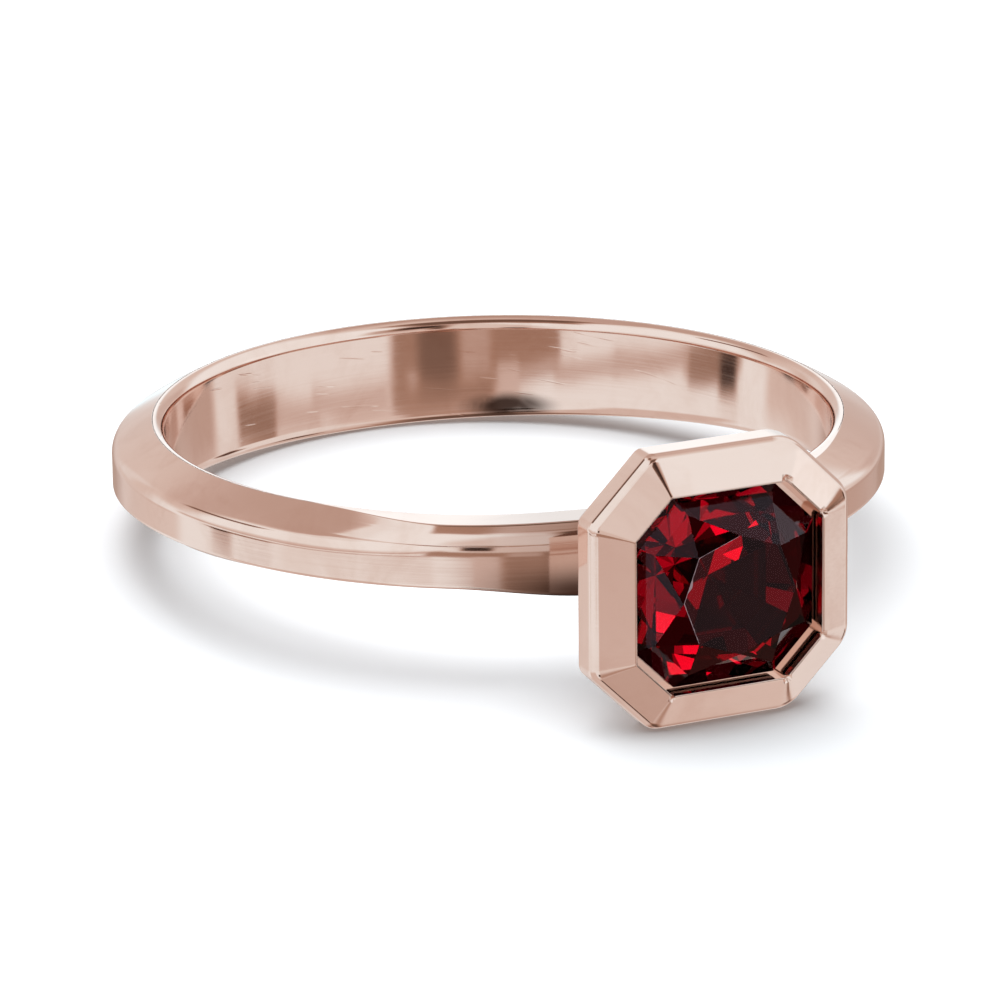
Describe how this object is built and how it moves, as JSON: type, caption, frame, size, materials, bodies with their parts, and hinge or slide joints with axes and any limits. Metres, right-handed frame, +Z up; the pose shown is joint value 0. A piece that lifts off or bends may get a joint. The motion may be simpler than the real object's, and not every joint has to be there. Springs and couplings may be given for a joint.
{
  "type": "garnet ring",
  "caption": "Finger ring with a bevelled rose gold shank and a cut-corner square garnet in a sloped bezel, lying on its side.",
  "frame": {"origin": "middle of the resting ring's outline, on the surface that it lies on", "axes": "+Z up from that surface, -Y towards the stone, X across the shank. The finger's axis leans 3.9 degrees from +Z towards +Y"},
  "size_m": [0.0202, 0.024, 0.007],
  "materials": {
    "rose_gold": "polished 14 carat rose gold, with faint scratches inside",
    "garnet": "faceted and polished, deep wine red with bright red flashes"
  },
  "bodies": {
    "root": {"mounting": "rose_gold", "garnet": "garnet"}
  },
  "joints": []
}
